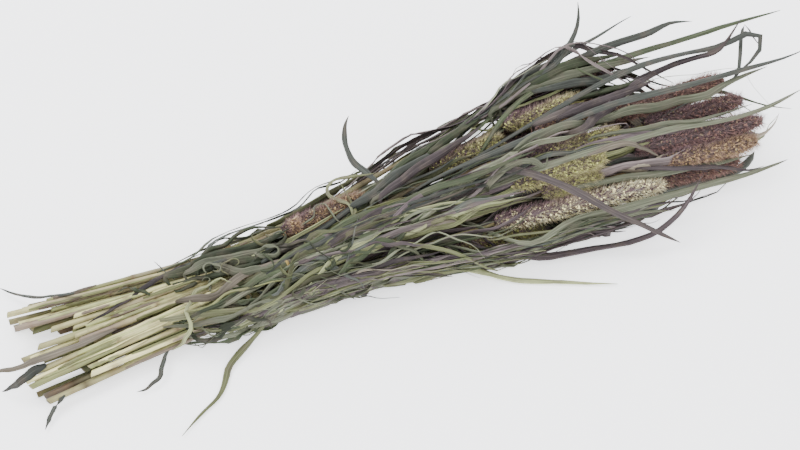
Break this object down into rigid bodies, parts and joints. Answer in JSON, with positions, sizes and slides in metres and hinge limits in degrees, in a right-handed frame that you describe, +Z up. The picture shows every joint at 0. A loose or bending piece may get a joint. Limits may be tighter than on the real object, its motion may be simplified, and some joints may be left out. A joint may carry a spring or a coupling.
{
  "type": "dried foxtail millet bunch",
  "caption": "Dried bunch of foxtail millet lying on its side: leafy straw stalks gathered by a tie, ending in dense bristly seed heads.",
  "frame": {"origin": "middle of the bunch's footprint, on the surface that it lies on", "axes": "+X along the bunch from the cut stem ends to the seed heads, +Z up from the surface"},
  "size_m": [0.778, 0.246, 0.086],
  "materials": {
    "straw": "dry matt straw",
    "seed_head": "dry bristly grain",
    "tie": "matt natural fibre"
  },
  "bodies": {
    "root": {"band": "tie", "head_01": "seed_head", "head_02": "seed_head", "head_03": "seed_head", "head_04": "seed_head", "head_05": "seed_head", "head_06": "seed_head", "head_07": "seed_head", "head_08": "seed_head", "head_09": "seed_head", "head_10": "seed_head", "head_11": "seed_head", "head_12": "seed_head", "head_13": "seed_head", "head_14": "seed_head", "head_15": "seed_head", "head_16": "seed_head", "head_17": "seed_head", "head_18": "seed_head", "head_19": "seed_head", "head_20": "seed_head", "head_21": "seed_head", "head_22": "seed_head", "head_23": "seed_head", "head_24": "seed_head", "head_25": "seed_head", "head_26": "seed_head", "head_27": "seed_head", "head_28": "seed_head", "head_29": "seed_head", "stalk_01": "straw", "stalk_02": "straw", "stalk_03": "straw", "stalk_04": "straw", "stalk_05": "straw", "stalk_06": "straw", "stalk_07": "straw", "stalk_08": "straw", "stalk_09": "straw", "stalk_10": "straw", "stalk_11": "straw", "stalk_12": "straw", "stalk_13": "straw", "stalk_14": "straw", "stalk_15": "straw", "stalk_16": "straw", "stalk_17": "straw", "stalk_18": "straw", "stalk_19": "straw", "stalk_20": "straw", "stalk_21": "straw", "stalk_22": "straw", "stalk_23": "straw", "stalk_24": "straw", "stalk_25": "straw", "stalk_26": "straw", "stalk_27": "straw", "stalk_28": "straw", "stalk_29": "straw"}
  },
  "joints": []
}
